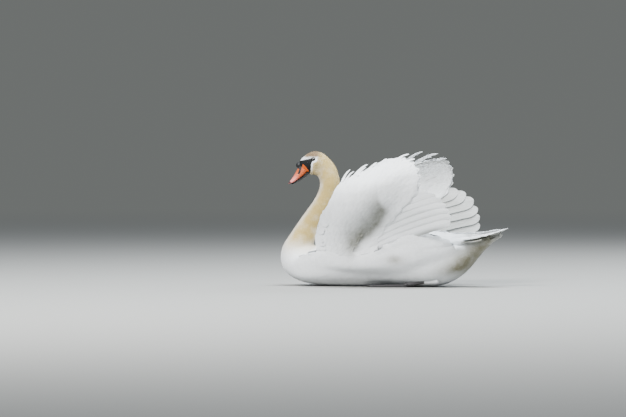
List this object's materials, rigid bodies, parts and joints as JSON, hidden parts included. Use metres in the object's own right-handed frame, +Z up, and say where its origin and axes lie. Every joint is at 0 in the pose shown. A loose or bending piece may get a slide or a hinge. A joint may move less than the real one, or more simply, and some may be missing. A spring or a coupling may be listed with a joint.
{
  "type": "mute swan",
  "caption": "Life-size still model of a mute swan afloat in display: neck drawn back in an S, both wings arched over the back, feet folded under a flat belly.",
  "frame": {"origin": "centre of the bounding box at the flat underside of the belly", "axes": "+Z up, -Y the way the body faces, +X the swan's left"},
  "size_m": [0.4858, 0.8232, 0.4742],
  "materials": {
    "white_plumage": "soft matt white contour feathers",
    "neck_plumage": "short velvety feathers stained buff over white",
    "flight_feathers": "smooth long white vanes with a faint sheen",
    "bill_orange": "smooth waxy horn, orange fading to pink at the tip",
    "bill_black": "smooth waxy black skin and horn",
    "eye": "wet, nearly black",
    "foot_skin": "fine scaly dark grey skin"
  },
  "bodies": {
    "root": {"trunk": "white_plumage", "neck_lower": "neck_plumage", "neck_middle": "neck_plumage", "neck_upper": "neck_plumage", "head": "neck_plumage", "bill_upper": "bill_orange", "bill_knob": "bill_black", "bill_lower": "bill_black", "tail": "white_plumage", "eye_left": "eye", "wing_left_arm": "white_plumage", "wing_left_shoulder": "white_plumage", "wing_left_tertials": "flight_feathers", "wing_left_secondaries": "flight_feathers", "wing_left_primaries": "flight_feathers", "flank_left": "white_plumage", "leg_left": "foot_skin", "foot_left": "foot_skin", "eye_right": "eye", "wing_right_arm": "white_plumage", "wing_right_shoulder": "white_plumage", "wing_right_tertials": "flight_feathers", "wing_right_secondaries": "flight_feathers", "wing_right_primaries": "flight_feathers", "flank_right": "white_plumage", "leg_right": "foot_skin", "foot_right": "foot_skin"}
  },
  "joints": []
}
